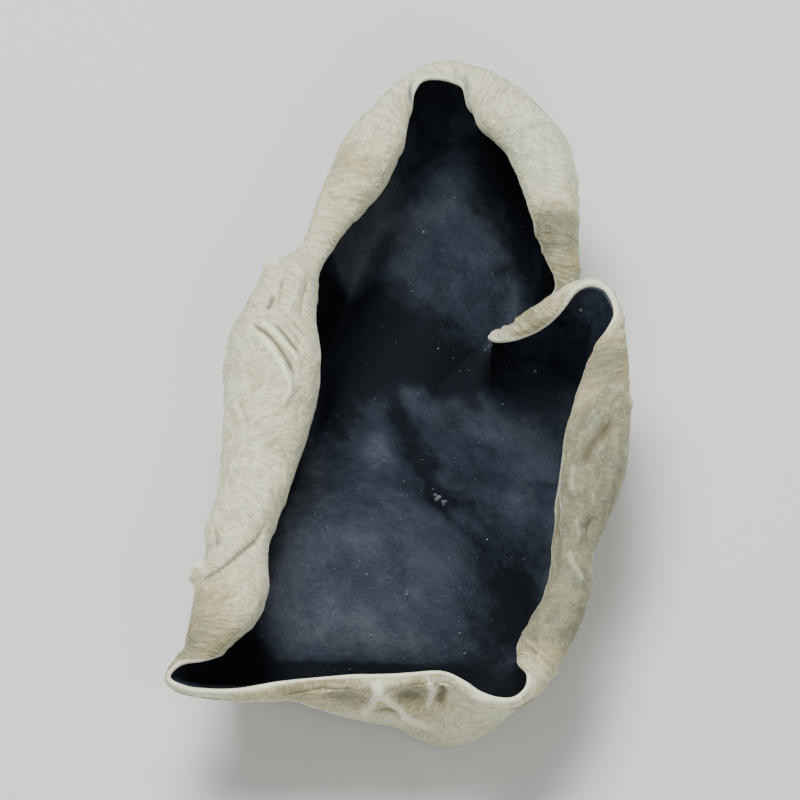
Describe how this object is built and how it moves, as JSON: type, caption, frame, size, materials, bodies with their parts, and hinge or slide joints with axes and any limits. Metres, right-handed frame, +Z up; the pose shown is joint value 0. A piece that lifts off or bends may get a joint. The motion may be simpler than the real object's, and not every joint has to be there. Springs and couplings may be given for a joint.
{
  "type": "dried wood ear mushroom",
  "caption": "Dried ear-shaped cup fungus lying on its back, a shallow leathery bowl with a dark satin inside and a pale felted margin rolled in over it.",
  "frame": {"origin": "middle of the footprint, on the surface that the ear lies on", "axes": "+Z up, out of the hollow; +Y from the cut stub towards the far lobe; +X across the ear, towards the spout in its side"},
  "size_m": [0.04, 0.0634, 0.0171],
  "materials": {
    "felt": "matt grey-tan suede felt outside, satin blue-black spore face inside"
  },
  "bodies": {
    "root": {"fruit_body": "felt"}
  },
  "joints": []
}
